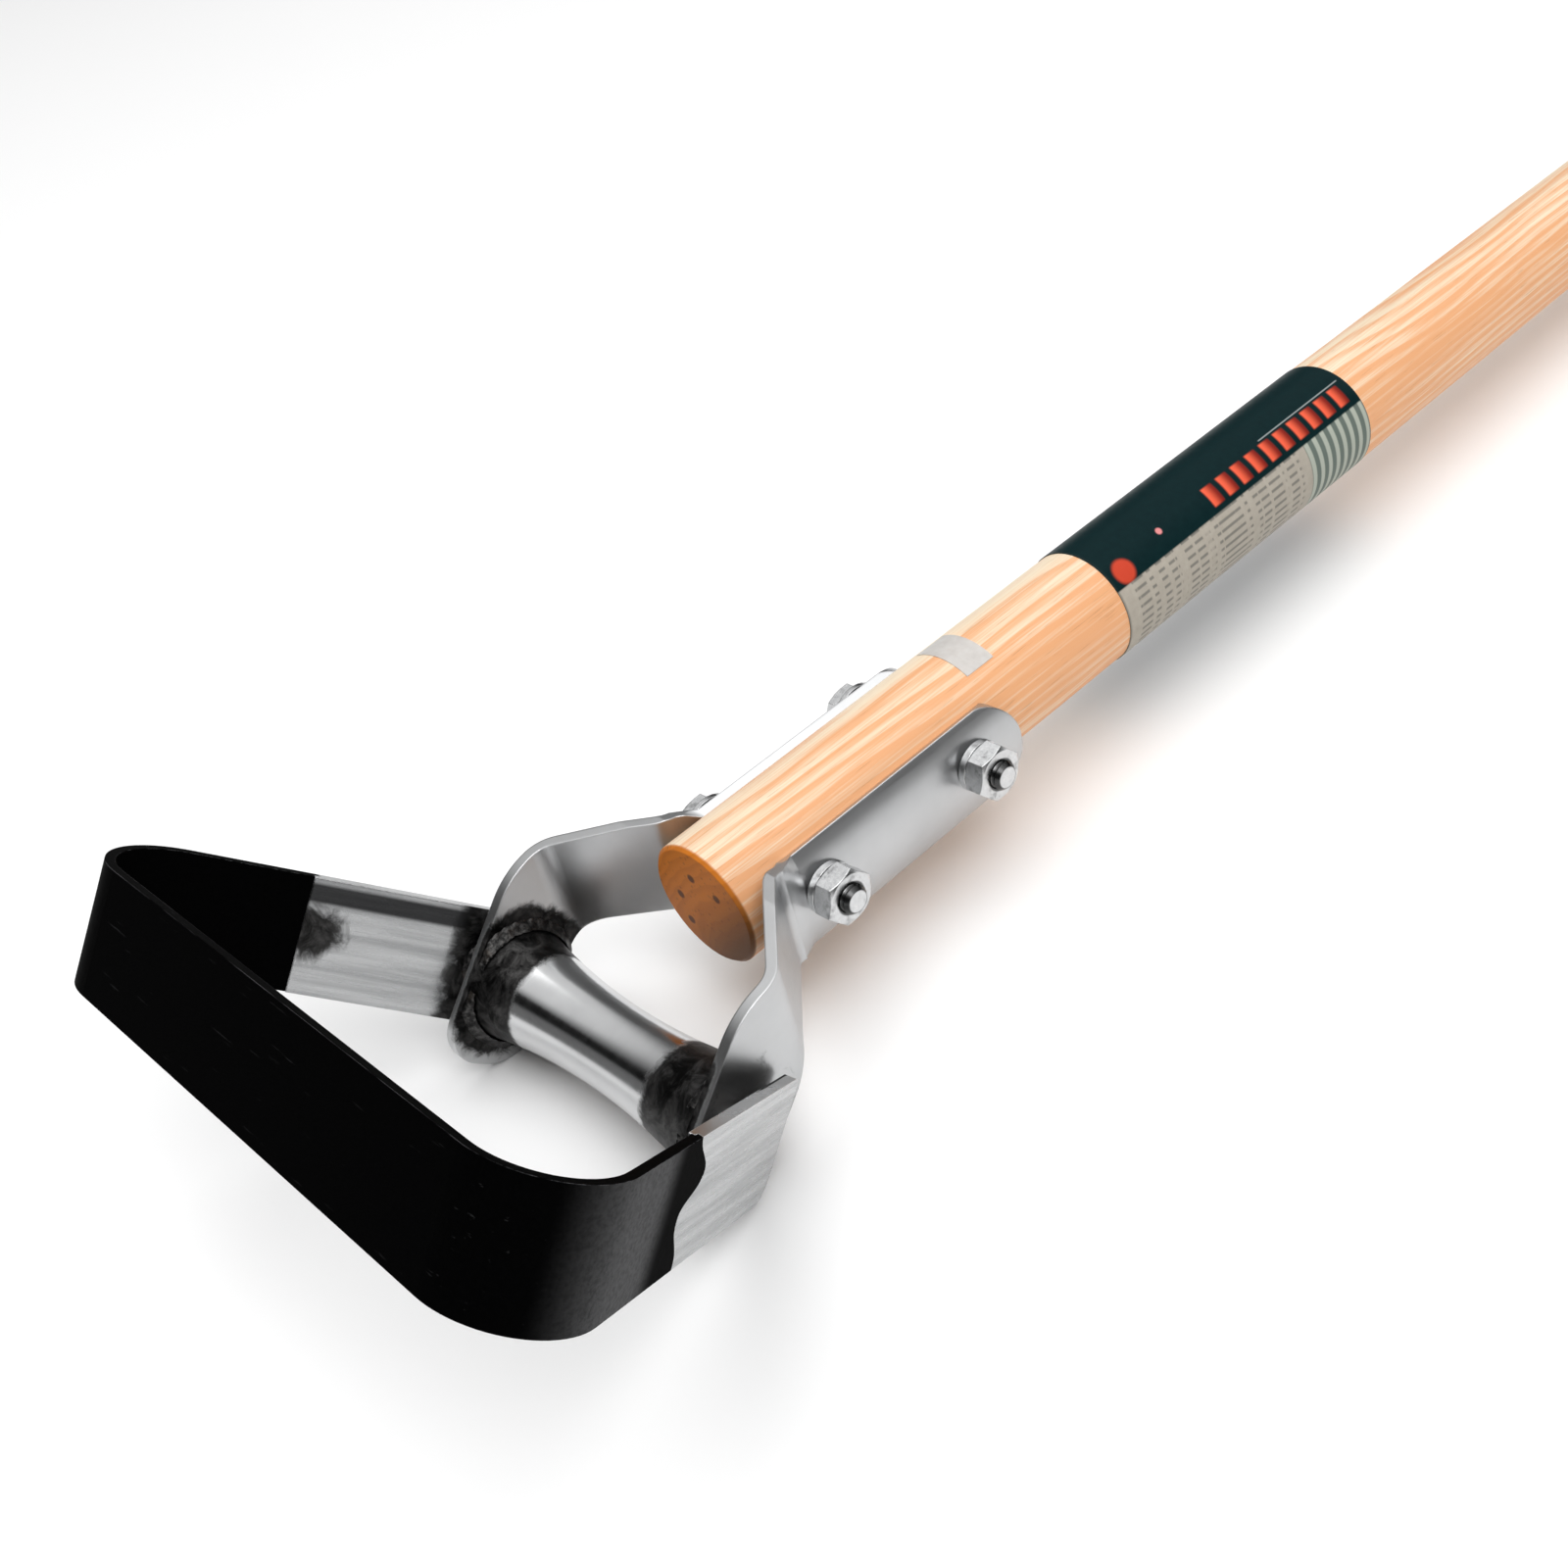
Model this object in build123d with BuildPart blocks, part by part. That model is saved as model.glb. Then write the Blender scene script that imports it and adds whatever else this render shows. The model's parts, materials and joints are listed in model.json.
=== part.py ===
from build123d import *
from math import asin, atan2, cos, hypot, radians, sin, tan
import os

os.makedirs("parts", exist_ok=True)

# Stirrup hoe lying on its back: a long wooden handle, two folded straps bolted to it,
# and a black loop blade that swings on an axle between the straps.
# Sizes are in mm and angles in degrees. The handle runs along X (tool X), the working end is at low X.

# Handle
handle_length = 1372.0
handle_radius = 14.3
shaft_radius = 14.0
taper_start = 216.0
taper_end = 420.0
grip_end_radius = 10.0
work_end_chamfer = 0.8

# Yoke straps
strap_thickness = 2.5
strap_top = 11.0
strap_bottom = -12.2
leg_length = 77.5
leg_tip_radius = 10.5
leg_crest = 17.5
leg_curve_radius = 22.0
leg_half_chord = 11.7
leg_middle_z = -2.5
leg_trim_margin = 0.05
leg_curved_from = 14.0
leg_flat_from = 9.0
flare_start = 6.6
flare_angle = 47.3
plate_spacing_inner = 70.0
limb_angle = 44.5
limb_front = 20.4
limb_width = 22.9
limb_end = 51.0
limb_crest = 7.7
crest_start = 1.0
front_corner_radius = 20.0
rear_corner_radius = 7.0
front_toe_radius = 8.5
rear_toe_radius = 12.0
bend_radius_first = 5.0
bend_radius_knee = 7.5

# Pivot: waisted sleeve between the straps, axle through it
axis_x = -28.5
axis_z = -16.8
axle_radius = 5.0
axle_clearance = 0.08
sleeve_end_radius = 12.6
sleeve_waist_radius = 9.1
sleeve_wall = 2.0
sleeve_weld_leg = 2.4
sleeve_weld_throat = 1.6
sleeve_weld_rise = 2.6
sleeve_weld_root = 0.1
axle_weld_radius = 8.6
axle_weld_height = 3.0
axle_weld_collar = 1.0
weld_plate_clearance = 0.5

# Swinging stirrup: loop plane measured from the pivot axis
loop_tilt = 39.8
loop_half_width = 12.65
arm_angle = 25.1
arm_offset = 42.85
hanger_rear = -5.5
hanger_front = 38.5
hanger_lower_corner = 5.0
hanger_upper_corner = 2.0
blade_thickness = 2.0
blade_front = 83.3
blade_corner_radius = 15.6
blade_rear = 26.0
bevel_width = 4.0
bevel_depth = 1.4
bevel_run = 32.8
bevel_overrun = 0.2
lap_outline = [
    (37.6, 13.5),
    (35.4, 9.5),
    (32.0, 4.4),
    (33.2, 2.6),
    (36.5, 0.7),
    (38.3, -1.2),
    (38.3, -2.9),
    (34.4, -9.8),
    (34.0, -13.5),
]

# Fasteners, quarter inch
bolt_radius = 3.175
bolt_hole_radius = 3.4
bolt_front_x = 18.6
bolt_spacing = 45.0
bolt_z = -0.7
hex_width = 11.1
head_height = 4.2
nut_height = 5.0
nut_bore_radius = 3.2
lock_washer_radius = 5.8
lock_washer_thickness = 1.6
lock_washer_split = 0.9
lock_washer_turn = 35.0
washer_bore_radius = 3.3
hex_turn = 12.0
hex_crown_inset = 0.2
flat_washer_radius = 7.5
flat_washer_thickness = 1.2
bolt_end_length = 1.9
thread_pitch = 1.27
thread_depth = 0.5
bolt_point_length = 0.9
bolt_point_inset = 0.7

# Label and sticker on the wood
label_near = 119.0
label_far = 213.7
label_thickness = 0.2
sticker_near = 74.3
sticker_far = 82.6
sticker_middle_angle = 92.0
sticker_half_angle = 31.0
sticker_thickness = 0.15

# Each strap's limb runs down and forward from the handle; its rounded rear toe is its lowest part.
limb_down = Vector(-cos(radians(limb_angle)), -sin(radians(limb_angle)))
limb_ahead = Vector(-sin(radians(limb_angle)), cos(radians(limb_angle)))
limb_rear = limb_front - limb_width
toe = limb_ahead * (limb_rear + rear_toe_radius) + limb_down * (limb_end - rear_toe_radius)

# The tool is tipped so that both rear toes and the far end of the handle rest on the floor.
rest_arm = handle_length - grip_end_radius - toe.X
rest_rise = -(shaft_radius - grip_end_radius) - toe.Y
rest_radii = rear_toe_radius - grip_end_radius
tilt = atan2(rest_rise, rest_arm) + asin(rest_radii / hypot(rest_arm, rest_rise))
tool_x = Vector(cos(tilt), 0, -sin(tilt))
tool_y = Vector(0, 1, 0)
tool_z = Vector(sin(tilt), 0, cos(tilt))

loop_out = tool_x * -cos(radians(loop_tilt)) + tool_z * sin(radians(loop_tilt))
loop_down = tool_x * -sin(radians(loop_tilt)) - tool_z * cos(radians(loop_tilt))

floor_lift = rear_toe_radius + toe.X * sin(tilt) - toe.Y * cos(tilt)
axis_from_tool = tool_x * axis_x + tool_z * axis_z
blade_middle_offset = (strap_thickness - blade_thickness) / 2
blade_outer = blade_front + blade_thickness / 2 - bevel_depth
front_corner = axis_from_tool + loop_out * blade_outer + loop_down * loop_half_width
grip_corner = tool_x * handle_length + tool_z * (shaft_radius - grip_end_radius)
tool_origin = Vector(-(front_corner.X + grip_corner.X) / 2, 0, floor_lift)


def section(x):
    """Plane across the handle at tool X: local x is Y, local y is tool Z."""
    return Plane(origin=tool_origin + tool_x * x, x_dir=tool_y, z_dir=tool_x)


def profile(y):
    """Side view plane at Y: local x is tool X, local y is tool Z."""
    return Plane(origin=tool_origin + tool_y * y, x_dir=tool_x, z_dir=-tool_y)


def plan(z):
    """Top view plane at tool Z: local x is tool X, local y is Y."""
    return Plane(origin=tool_origin + tool_z * z, x_dir=tool_x, z_dir=tool_z)


def across_pivot(y):
    """Plane square to the pivot axis at Y, centred on it."""
    return Plane(origin=pivot_point + tool_y * y, x_dir=tool_x, z_dir=-tool_y)


pivot_point = tool_origin + axis_from_tool
loop_plane = Plane(origin=pivot_point, x_dir=loop_out, z_dir=loop_down)
pivot_plan = Plane(origin=pivot_point, x_dir=tool_x, z_dir=tool_z)

bolt_positions = {"front": bolt_front_x, "rear": bolt_front_x + bolt_spacing}
sides = {"left": 1, "right": -1}

leg_inner = leg_crest - strap_thickness
plate_inner = plate_spacing_inner / 2
plate_outer = plate_inner + strap_thickness
through_all = 120.0


def save(piece, name):
    piece.part.label = name
    export_step(piece.part, f"parts/{name}.step")


def handle():
    """Round shaft: chamfered working end, slight taper past the label, domed grip end, two bolt holes."""
    dome_start = handle_length - grip_end_radius
    with BuildPart() as body:
        with BuildSketch(profile(0)):
            with BuildLine():
                Polyline(
                    (handle_length, 0),
                    (0, 0),
                    (0, handle_radius - work_end_chamfer),
                    (work_end_chamfer, handle_radius),
                    (taper_start, handle_radius),
                    (taper_end, shaft_radius),
                    (dome_start, shaft_radius),
                )
                RadiusArc(
                    (dome_start, shaft_radius),
                    (handle_length, shaft_radius - grip_end_radius),
                    grip_end_radius,
                )
                Line((handle_length, shaft_radius - grip_end_radius), (handle_length, 0))
            make_face()
        revolve(axis=Axis(tool_origin, tool_x))
        for x in bolt_positions.values():
            with BuildSketch(profile(0)):
                with Locations((x, bolt_z)):
                    Circle(bolt_hole_radius)
            extrude(amount=handle_radius + 1, both=True, mode=Mode.SUBTRACT)
    return body


def wrap(near, far, thickness, middle_angle=0.0, half_angle=180.0):
    """Thin skin on the wood between two stations, all round or over part of the girth."""
    with BuildPart() as skin:
        with BuildSketch(section(near)):
            Circle(handle_radius + thickness)
            Circle(handle_radius, mode=Mode.SUBTRACT)
            if half_angle < 180.0:
                reach = 3 * handle_radius
                start = radians(middle_angle - half_angle)
                end = radians(middle_angle + half_angle)
                with BuildLine():
                    Polyline(
                        (0, 0),
                        (reach * cos(start), reach * sin(start)),
                        (reach * cos(end), reach * sin(end)),
                        close=True,
                    )
                make_face(mode=Mode.INTERSECT)
        extrude(amount=far - near)
    return skin


def strap_outline():
    """Side outline of a yoke strap: leg along the handle, limb down to a blunt end with round corners."""
    front_toe = limb_ahead * limb_front + limb_down * limb_end
    rear_toe = limb_ahead * limb_rear + limb_down * limb_end
    front_bend = front_toe - limb_down * ((limb_crest - front_toe.Y) / sin(radians(limb_angle)))
    rear_bend = rear_toe - limb_down * ((strap_bottom - rear_toe.Y) / sin(radians(limb_angle)))
    leg_top = leg_middle_z + leg_half_chord + leg_trim_margin
    leg_bottom = leg_middle_z - leg_half_chord - leg_trim_margin
    with BuildSketch(profile(0)) as outline:
        with BuildLine():
            Polyline(
                (leg_length, leg_top),
                (leg_curved_from, leg_top),
                (flare_start, strap_top),
                (crest_start, strap_top),
                (front_bend.X, front_bend.Y),
                (front_toe.X, front_toe.Y),
                (rear_toe.X, rear_toe.Y),
                (rear_bend.X, rear_bend.Y),
                (flare_start, strap_bottom),
                (leg_curved_from, leg_bottom),
                (leg_length, leg_bottom),
                close=True,
            )
        make_face()
        corners = [
            (front_bend, front_corner_radius),
            (rear_bend, rear_corner_radius),
            (front_toe, front_toe_radius),
            (rear_toe, rear_toe_radius),
            (Vector(leg_length, leg_top), leg_tip_radius),
            (Vector(leg_length, leg_bottom), leg_tip_radius),
        ]
        for corner, radius in corners:
            fillet(outline.vertices().sort_by_distance(corner)[0], radius)
    return outline.sketch


def flat_section(x, side):
    """Section of a strap next to the fold: a flat bar on edge."""
    with BuildSketch(section(x)) as face:
        with Locations((side * (leg_crest - strap_thickness / 2), (strap_top + strap_bottom) / 2)):
            Rectangle(strap_thickness, strap_top - strap_bottom)
    return face.sketch


def bowed_section(x, side):
    """Section of a strap leg: an arc of sheet bowed outwards round the wood."""
    half_angle = asin(leg_half_chord / leg_curve_radius)
    centre_y = leg_crest - leg_curve_radius
    corners = []
    crests = []
    for radius in (leg_curve_radius, leg_curve_radius - strap_thickness):
        edge = side * (centre_y + radius * cos(half_angle))
        rise = radius * sin(half_angle)
        corners += [(edge, leg_middle_z + rise), (edge, leg_middle_z - rise)]
        crests.append((side * (centre_y + radius), leg_middle_z))
    outer_top, outer_bottom, inner_top, inner_bottom = corners
    with BuildSketch(section(x)) as face:
        with BuildLine():
            ThreePointArc(outer_top, crests[0], outer_bottom)
            Line(outer_bottom, inner_bottom)
            ThreePointArc(inner_bottom, crests[1], inner_top)
            Line(inner_top, outer_top)
        make_face()
    return face.sketch


def yoke_plate(side):
    """Strap folded from sheet: leg bowed round the handle, flare, then a flat limb with the pivot hole."""
    middle = strap_thickness / 2
    knee_x = flare_start - (plate_inner - leg_inner) / tan(radians(flare_angle))
    outline = strap_outline()
    flat_end = flat_section(leg_flat_from, side)
    bowed_end = bowed_section(leg_curved_from, side)
    with BuildPart() as plate:
        with BuildSketch(plan(0)):
            with BuildLine():
                FilletPolyline(
                    (leg_flat_from, side * (leg_inner + middle)),
                    (flare_start, side * (leg_inner + middle)),
                    (knee_x, side * (plate_inner + middle)),
                    (-2 * limb_end, side * (plate_inner + middle)),
                    radius=[bend_radius_first, bend_radius_knee],
                )
            trace(line_width=strap_thickness)
        extrude(amount=through_all / 2, both=True)
        loft([flat_end.face(), bowed_end.face()])
        extrude(bowed_end, amount=leg_length - leg_curved_from, dir=tool_x)
        extrude(outline, amount=through_all, both=True, mode=Mode.INTERSECT)
        with BuildSketch(profile(0)):
            with Locations(*[(x, bolt_z) for x in bolt_positions.values()]):
                Circle(bolt_hole_radius)
            with Locations((axis_x, axis_z)):
                Circle(axle_radius + axle_clearance)
        extrude(amount=-side * through_all, mode=Mode.SUBTRACT)
    return plate


def cross_sleeve():
    """Waisted tube that spaces the two straps and covers the axle."""
    half = plate_inner
    with BuildPart() as sleeve:
        with BuildSketch(pivot_plan):
            with BuildLine():
                outer_end = sleeve_end_radius
                inner_end = sleeve_end_radius - sleeve_wall
                ThreePointArc((outer_end, -half), (sleeve_waist_radius, 0), (outer_end, half))
                Line((outer_end, half), (inner_end, half))
                ThreePointArc((inner_end, half), (sleeve_waist_radius - sleeve_wall, 0), (inner_end, -half))
                Line((inner_end, -half), (outer_end, -half))
            make_face()
        revolve(axis=Axis(pivot_point, tool_y))
    return sleeve


def sleeve_weld(side):
    """Fillet weld round the sleeve end, only where there is strap behind it."""
    outline = strap_outline()
    strap = yoke_plate(side)
    foot = sleeve_end_radius
    with BuildPart() as weld:
        with BuildSketch(pivot_plan):
            with BuildLine():
                Polyline(
                    (foot, side * plate_inner),
                    (foot + sleeve_weld_leg, side * plate_inner),
                    (foot + sleeve_weld_leg - sleeve_weld_throat, side * (plate_inner - sleeve_weld_throat)),
                    (foot - sleeve_weld_root, side * (plate_inner - sleeve_weld_rise)),
                    close=True,
                )
            make_face()
        revolve(axis=Axis(pivot_point, tool_y))
        extrude(outline, amount=through_all, both=True, mode=Mode.INTERSECT)
        add(strap.part, mode=Mode.SUBTRACT)
    return weld


def hanger_plane(side, offset_out=0.0):
    """Middle plane of a hanger: local x runs out along the arm, local z points away from the loop."""
    run = loop_out * cos(radians(arm_angle)) + tool_y * side * sin(radians(arm_angle))
    outward = tool_y * side * cos(radians(arm_angle)) - loop_out * sin(radians(arm_angle))
    start = pivot_point + tool_y * side * arm_offset + outward * offset_out
    return Plane(origin=start, x_dir=run, z_dir=outward)


def axle_rod():
    with BuildPart() as axle:
        with BuildSketch(across_pivot(0)):
            Circle(axle_radius)
        extrude(amount=through_all / 2, both=True)
        for side in sides.values():
            split(bisect_by=hanger_plane(side, -strap_thickness / 2), keep=Keep.BOTTOM)
    return axle


def axle_weld(side):
    """Weld bead between the axle end and the inner face of a hanger."""
    face = hanger_plane(side, -strap_thickness / 2)
    end_shift = -strap_thickness / 2 * tan(radians(arm_angle))
    rear = hanger_rear / cos(radians(arm_angle))
    with BuildPart() as weld:
        with BuildSketch(face):
            with Locations((end_shift, 0)):
                Circle(axle_weld_radius)
        with BuildSketch(face.offset(-axle_weld_height)):
            with Locations((end_shift, 0)):
                Circle(axle_radius + axle_weld_collar)
        loft()
        with BuildSketch(across_pivot(0)):
            Circle(axle_radius)
        extrude(amount=through_all, both=True, mode=Mode.SUBTRACT)
        with BuildSketch(across_pivot(0)):
            Rectangle(through_all, through_all)
        extrude(amount=-side * (plate_outer + weld_plate_clearance), mode=Mode.SUBTRACT)
        split(bisect_by=Plane(origin=face.from_local_coords((rear, 0, 0)), z_dir=face.x_dir), keep=Keep.TOP)
    return weld


def arm_point(reach, offset_out=0.0):
    """Point of the left arm in the loop plane, a distance outside the arm's middle line."""
    slope = radians(arm_angle)
    return Vector(reach - offset_out * sin(slope), arm_offset + reach * tan(slope) + offset_out * cos(slope))


def lap_side(end):
    """Side view region between the lap line and a reach, used to part the blade from a hanger."""
    with BuildSketch(Plane(origin=pivot_point, x_dir=loop_out, z_dir=tool_y)) as region:
        with BuildLine():
            Spline(*lap_outline)
            Polyline(lap_outline[-1], (end, lap_outline[-1][1]), (end, lap_outline[0][1]), lap_outline[0])
        make_face()
    return region.sketch


def hanger(side):
    """Flat arm of the stirrup; the outer half of its front end is cut away to seat the blade."""
    rear = hanger_rear / cos(radians(arm_angle))
    front = hanger_front / cos(radians(arm_angle))
    with BuildPart() as seat:
        extrude(lap_side(2 * hanger_front), amount=through_all, both=True)
        split(bisect_by=hanger_plane(side), keep=Keep.TOP)
    with BuildPart() as arm:
        with BuildSketch(hanger_plane(side)) as outline:
            with Locations(((rear + front) / 2, 0)):
                Rectangle(front - rear, 2 * loop_half_width)
            fillet(
                outline.vertices().sort_by_distance(Vector(rear, side * loop_half_width))[0],
                hanger_upper_corner,
            )
            fillet(
                outline.vertices().sort_by_distance(Vector(rear, -side * loop_half_width))[0],
                hanger_lower_corner,
            )
        extrude(amount=strap_thickness / 2, both=True)
        add(seat.part, mode=Mode.SUBTRACT)
    return arm


arm_face_offset = strap_thickness / 2
bevel_run_out = arm_point(blade_front - bevel_run, arm_face_offset)
bevel_front = blade_front + blade_thickness / 2
bevel_inner = loop_half_width - (1 + bevel_overrun) * bevel_width
bevel_outer = loop_half_width + bevel_overrun * bevel_width
bevel_lip = bevel_overrun * bevel_depth
bevel_reach = bevel_front + arm_face_offset * sin(radians(arm_angle))
bevel_corner = Vector(bevel_front, arm_point(bevel_reach, arm_face_offset).Y)


def blade():
    """Black loop: each end is halved to lap a hanger flush on the outside, and it turns across the front."""
    corner_reach = blade_front + blade_middle_offset * sin(radians(arm_angle))
    corner = Vector(blade_front, arm_point(corner_reach, blade_middle_offset).Y)
    left = [arm_point(blade_rear, blade_middle_offset), corner]
    path = left + [Vector(point.X, -point.Y) for point in reversed(left)]
    with BuildPart() as loop:
        with BuildSketch(loop_plane):
            with BuildLine():
                FilletPolyline(*path, radius=blade_corner_radius)
            trace(line_width=blade_thickness)
        extrude(amount=loop_half_width, both=True)
        with BuildLine(loop_plane):
            outer_face = FilletPolyline(
                bevel_run_out,
                bevel_corner,
                Vector(bevel_corner.X, -bevel_corner.Y),
                Vector(bevel_run_out.X, -bevel_run_out.Y),
                radius=blade_corner_radius + blade_thickness / 2,
            )
        for edge in (1, -1):
            with BuildSketch(Plane(origin=outer_face @ 0, x_dir=loop_down, z_dir=outer_face % 0)):
                with BuildLine():
                    Polyline(
                        (edge * bevel_inner, -bevel_lip),
                        (edge * bevel_outer, bevel_depth + bevel_lip),
                        (edge * bevel_outer, -bevel_lip),
                        close=True,
                    )
                make_face()
            sweep(path=outer_face, mode=Mode.SUBTRACT)
        extrude(lap_side(0), amount=through_all, both=True, mode=Mode.SUBTRACT)
        for side in sides.values():
            front = hanger_front / cos(radians(arm_angle))
            with BuildSketch(hanger_plane(side)):
                with Locations((front / 2, 0)):
                    Rectangle(front, 3 * loop_half_width)
            extrude(amount=-2 * strap_thickness, mode=Mode.SUBTRACT)
    return loop


def bolt_centre(x):
    return tool_origin + tool_x * x + tool_z * bolt_z


def bolt_plane(x):
    """Plane through a bolt's axis: local x is radial, local y is Y."""
    return Plane(origin=bolt_centre(x), x_dir=tool_x, z_dir=tool_z)


def hex_block(x, start, end):
    """Hexagon along Y from start to end, with both ends turned to a shallow cone."""
    corner_radius = hex_width / 2 / cos(radians(30))
    crown_radius = hex_width / 2 - hex_crown_inset
    crown = (corner_radius - crown_radius) * tan(radians(30))
    with BuildPart() as block:
        with BuildSketch(profile(start)):
            with Locations((x, bolt_z)):
                RegularPolygon(hex_width / 2, 6, major_radius=False, rotation=hex_turn)
        extrude(amount=start - end)
        with BuildSketch(bolt_plane(x)):
            with BuildLine():
                Polyline(
                    (0, start),
                    (crown_radius, start),
                    (corner_radius, start + crown),
                    (corner_radius, end - crown),
                    (crown_radius, end),
                    (0, end),
                    close=True,
                )
            make_face()
        revolve(axis=Axis(bolt_centre(x), tool_y), mode=Mode.INTERSECT)
    return block


def bolt(x):
    """Hexagon bolt through both straps and the handle, threaded at the nut end."""
    under_head = leg_crest + flat_washer_thickness
    tip = -(leg_crest + lock_washer_thickness + nut_height + bolt_end_length)
    thread_count = int((nut_height + bolt_end_length) / thread_pitch) - 1
    head = hex_block(x, under_head, under_head + head_height)
    shank = [(0, under_head), (bolt_radius, under_head)]
    root = tip + bolt_point_length + thread_count * thread_pitch
    shank.append((bolt_radius, root))
    for turn in range(thread_count):
        crest = root - turn * thread_pitch
        shank.append((bolt_radius - thread_depth, crest - thread_pitch / 2))
        shank.append((bolt_radius, crest - thread_pitch))
    shank += [(bolt_radius - bolt_point_inset, tip), (0, tip)]
    with BuildPart() as body:
        add(head.part)
        with BuildSketch(bolt_plane(x)):
            with BuildLine():
                Polyline(*shank, close=True)
            make_face()
        revolve(axis=Axis(bolt_centre(x), tool_y))
    return body


def nut(x):
    start = -(leg_crest + lock_washer_thickness + nut_height)
    block = hex_block(x, start, start + nut_height)
    with BuildPart() as body:
        add(block.part)
        with BuildSketch(profile(0)):
            with Locations((x, bolt_z)):
                Circle(nut_bore_radius)
        extrude(amount=through_all, mode=Mode.SUBTRACT)
    return body


def washer(x, start, thickness, outer_radius, split_width=0.0):
    """Ring on a bolt from start outwards; a lock washer is cut through on one side."""
    with BuildPart() as ring:
        with BuildSketch(profile(start)):
            with Locations((x, bolt_z)):
                Circle(outer_radius)
                Circle(washer_bore_radius, mode=Mode.SUBTRACT)
            if split_width > 0:
                with Locations(Location((x, bolt_z), lock_washer_turn)):
                    with Locations((outer_radius, 0)):
                        Rectangle(2 * outer_radius, split_width, mode=Mode.SUBTRACT)
        extrude(amount=thickness)
    return ring


save(handle(), "handle")
save(wrap(label_near, label_far, label_thickness), "label_sleeve")
save(
    wrap(sticker_near, sticker_far, sticker_thickness, sticker_middle_angle, sticker_half_angle),
    "price_sticker",
)
for name, side in sides.items():
    save(yoke_plate(side), f"yoke_plate_{name}")
    save(sleeve_weld(side), f"sleeve_weld_{name}")
    save(axle_weld(side), f"axle_weld_{name}")
    save(hanger(side), f"hanger_{name}")
save(cross_sleeve(), "cross_sleeve")
save(axle_rod(), "axle_rod")
save(blade(), "blade")
for name, x in bolt_positions.items():
    save(bolt(x), f"bolt_{name}")
    save(nut(x), f"nut_{name}")
    lock_start = -leg_crest
    save(
        washer(x, lock_start, lock_washer_thickness, lock_washer_radius, lock_washer_split),
        f"lock_washer_{name}",
    )
    flat_start = leg_crest + flat_washer_thickness
    save(washer(x, flat_start, flat_washer_thickness, flat_washer_radius), f"flat_washer_{name}")
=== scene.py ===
import json
import math

import bmesh
import bpy
from mathutils import Matrix, Vector, noise


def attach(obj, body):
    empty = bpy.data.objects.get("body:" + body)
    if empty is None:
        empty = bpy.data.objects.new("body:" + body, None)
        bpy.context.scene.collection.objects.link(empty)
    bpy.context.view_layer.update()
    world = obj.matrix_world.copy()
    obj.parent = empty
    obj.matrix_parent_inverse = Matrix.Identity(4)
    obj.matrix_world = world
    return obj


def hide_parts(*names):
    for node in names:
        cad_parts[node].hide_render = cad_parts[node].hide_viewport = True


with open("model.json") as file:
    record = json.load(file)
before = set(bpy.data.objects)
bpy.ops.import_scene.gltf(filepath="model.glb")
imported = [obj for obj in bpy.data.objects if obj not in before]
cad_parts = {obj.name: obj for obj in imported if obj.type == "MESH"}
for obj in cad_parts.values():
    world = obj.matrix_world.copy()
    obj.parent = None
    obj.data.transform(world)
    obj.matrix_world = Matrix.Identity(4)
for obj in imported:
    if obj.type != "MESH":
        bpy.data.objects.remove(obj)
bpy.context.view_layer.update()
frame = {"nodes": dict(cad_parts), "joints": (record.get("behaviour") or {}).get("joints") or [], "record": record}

# Lengths below are in millimetres of the tool's own frame unless a name says otherwise:
# x along the handle from its working end, y across the tool to its left, z square to both.
MM = 0.001

nodes = frame["nodes"]
shaft = next(m for m in frame["record"]["mounts"] if m["name"] == "handle_shaft")
tool_x = Vector(shaft["axis"]).normalized()
tool_y = Vector((0, 1, 0))
tool_z = tool_x.cross(tool_y)
pivot = Vector(frame["joints"][0]["pos_m"])
reach = min(v.co.dot(tool_x) for v in nodes["handle"].data.vertices)
working_end = Vector(shaft["pos_m"]) + tool_x * (reach - Vector(shaft["pos_m"]).dot(tool_x))
tool_axes = Matrix((tool_x, tool_y, tool_z)).transposed()

# The stirrup's own axes: out along the loop, across, and down across the width of its strip.
loop_tilt = math.radians(39.8)
loop_out = tool_x * -math.cos(loop_tilt) + tool_z * math.sin(loop_tilt)
loop_down = loop_out.cross(tool_y)
loop_axes = Matrix((loop_out, tool_y, loop_down)).transposed()

# Each arm of the stirrup leans out by this angle, and its middle starts this far from the tool's middle.
arm_angle = math.radians(25.1)
arm_offset = 42.85


def place(x, y, z):
    """World point of a point of the tool frame."""
    return working_end + tool_axes @ Vector((x, y, z)) * MM


# Bolt axes: tool x of the front one, spacing, and tool z of both.
bolt_front = 18.6
bolt_spacing = 45.0
bolt_height = -0.7

# Growth rings: how far their pith lies beside and below the wood's middle, how much it drops per mm
# along the wood, the width of its wander, and rings per mm.
pith_side = 17.0
pith_below = 30.0
pith_slope = 0.018
pith_wander = 26.0
rings_per_mm = 0.42

# Printed label: its ends along x, the round mark and the dot on it as (x, degrees round the wood),
# the millimetres in a degree, and the row of blocks.
label_near = 119.0
label_far = 213.7
mark_at = (124.0, 135.0)
dot_at = (139.0, 126.0)
mm_per_degree = 0.253
block_start = 155.5
block_pitch = 5.6

# Burnt patch on a hanger where the blade is welded on, in the stirrup's axes.
lap_burn_out = 37.5
lap_burn_down = -1.0

# Threaded bolt ends: inner and outer radius of the dark ring on each, and the y where it starts and
# where it is full.
thread_inner = 2.35
thread_outer = 3.7
nut_face_y = -23.6
thread_full_y = -24.2

# Small dark knots in the end grain, as (y, z).
end_knots = [(1.5, 6.5), (7.2, -0.2), (-5.5, 4.3), (6.3, -6.8)]


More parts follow.
